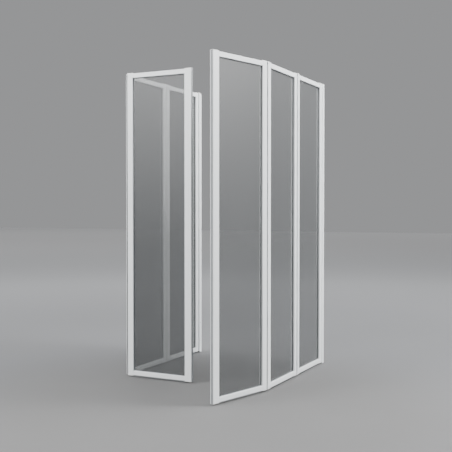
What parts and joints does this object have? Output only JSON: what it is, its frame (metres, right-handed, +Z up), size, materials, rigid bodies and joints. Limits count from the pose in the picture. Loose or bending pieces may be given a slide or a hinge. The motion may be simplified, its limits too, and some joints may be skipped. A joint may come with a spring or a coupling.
{
  "type": "shower enclosure",
  "caption": "Fold-away framed shower enclosure with tinted glass: mirrored wings of hinged panels on wall profiles, closed in front by two swing doors.",
  "frame": {"origin": "foot of the left wall profile, on its centre line, where its back meets the wall and the floor", "axes": "+Z up along the profiles, +Y into the wall, +X along the wall towards the right wing"},
  "size_m": [1.017, 1.4328, 1.95],
  "materials": {
    "frame": "satin white powder coat",
    "glass": "clear, toughened, grey tint",
    "gasket": "matt dark grey",
    "seal": "translucent soft strip",
    "magnet": "grey magnetic strip in a soft sleeve",
    "caps": "moulded white",
    "steel": "stainless"
  },
  "bodies": {
    "wall_profiles": {"left_wall_channel": "frame", "left_wall_jamb": "frame", "left_wall_cap": "caps", "left_jamb_screws": "steel", "left_wall_pin": "steel", "right_wall_channel": "frame", "right_wall_jamb": "frame", "right_wall_cap": "caps", "right_jamb_screws": "steel", "right_wall_pin": "steel"},
    "left_rear_panel": {"left_rear_hinge_stile": "frame", "left_rear_far_stile": "frame", "left_rear_hinge_pin": "steel", "left_rear_rails": "frame", "left_rear_glass": "glass", "left_rear_gasket": "gasket", "left_rear_drip_seal": "seal", "left_rear_caps": "caps"},
    "left_side_panel": {"left_side_hinge_stile": "frame", "left_side_far_stile": "frame", "left_side_hinge_pin": "steel", "left_side_rails": "frame", "left_side_glass": "glass", "left_side_gasket": "gasket", "left_side_drip_seal": "seal", "left_side_caps": "caps"},
    "left_door": {"left_door_hinge_stile": "frame", "left_door_closing_stile": "frame", "left_door_magnet": "magnet", "left_door_rails": "frame", "left_door_glass": "glass", "left_door_gasket": "gasket", "left_door_drip_seal": "seal", "left_door_caps": "caps"},
    "right_rear_panel": {"right_rear_hinge_stile": "frame", "right_rear_far_stile": "frame", "right_rear_hinge_pin": "steel", "right_rear_rails": "frame", "right_rear_glass": "glass", "right_rear_gasket": "gasket", "right_rear_drip_seal": "seal", "right_rear_caps": "caps"},
    "right_side_panel": {"right_side_hinge_stile": "frame", "right_side_far_stile": "frame", "right_side_hinge_pin": "steel", "right_side_rails": "frame", "right_side_glass": "glass", "right_side_gasket": "gasket", "right_side_drip_seal": "seal", "right_side_caps": "caps"},
    "right_door": {"right_door_hinge_stile": "frame", "right_door_closing_stile": "frame", "right_door_magnet": "magnet", "right_door_rails": "frame", "right_door_glass": "glass", "right_door_gasket": "gasket", "right_door_drip_seal": "seal", "right_door_caps": "caps"}
  },
  "joints": [
    {"name": "left_fold", "type": "hinge", "parent": "wall_profiles", "child": "left_rear_panel", "pos_m": [0.0155, -0.04, 0], "axis": [0, 0, 1], "range_deg": [0, 90]},
    {"name": "left_mid_fold", "type": "hinge", "parent": "left_rear_panel", "child": "left_side_panel", "pos_m": [-0.0155, -0.506, 0], "axis": [0, 0, 1], "range_deg": [-180, 0]},
    {"name": "left_door_swing", "type": "hinge", "parent": "left_side_panel", "child": "left_door", "pos_m": [0.0155, -0.972, 0], "axis": [0, 0, 1], "range_deg": [-90, 90]},
    {"name": "right_fold", "type": "hinge", "parent": "wall_profiles", "child": "right_rear_panel", "pos_m": [0.9595, -0.04, 0], "axis": [0, 0, -1], "range_deg": [0, 90]},
    {"name": "right_mid_fold", "type": "hinge", "parent": "right_rear_panel", "child": "right_side_panel", "pos_m": [0.9905, -0.506, 0], "axis": [0, 0, -1], "range_deg": [-180, 0]},
    {"name": "right_door_swing", "type": "hinge", "parent": "right_side_panel", "child": "right_door", "pos_m": [0.9595, -0.972, 0], "axis": [0, 0, -1], "range_deg": [-15, 165]}
  ],
  "couplings": [
    {"joint": "left_mid_fold", "follows": "left_fold", "ratio": -2},
    {"joint": "right_mid_fold", "follows": "right_fold", "ratio": -2}
  ]
}
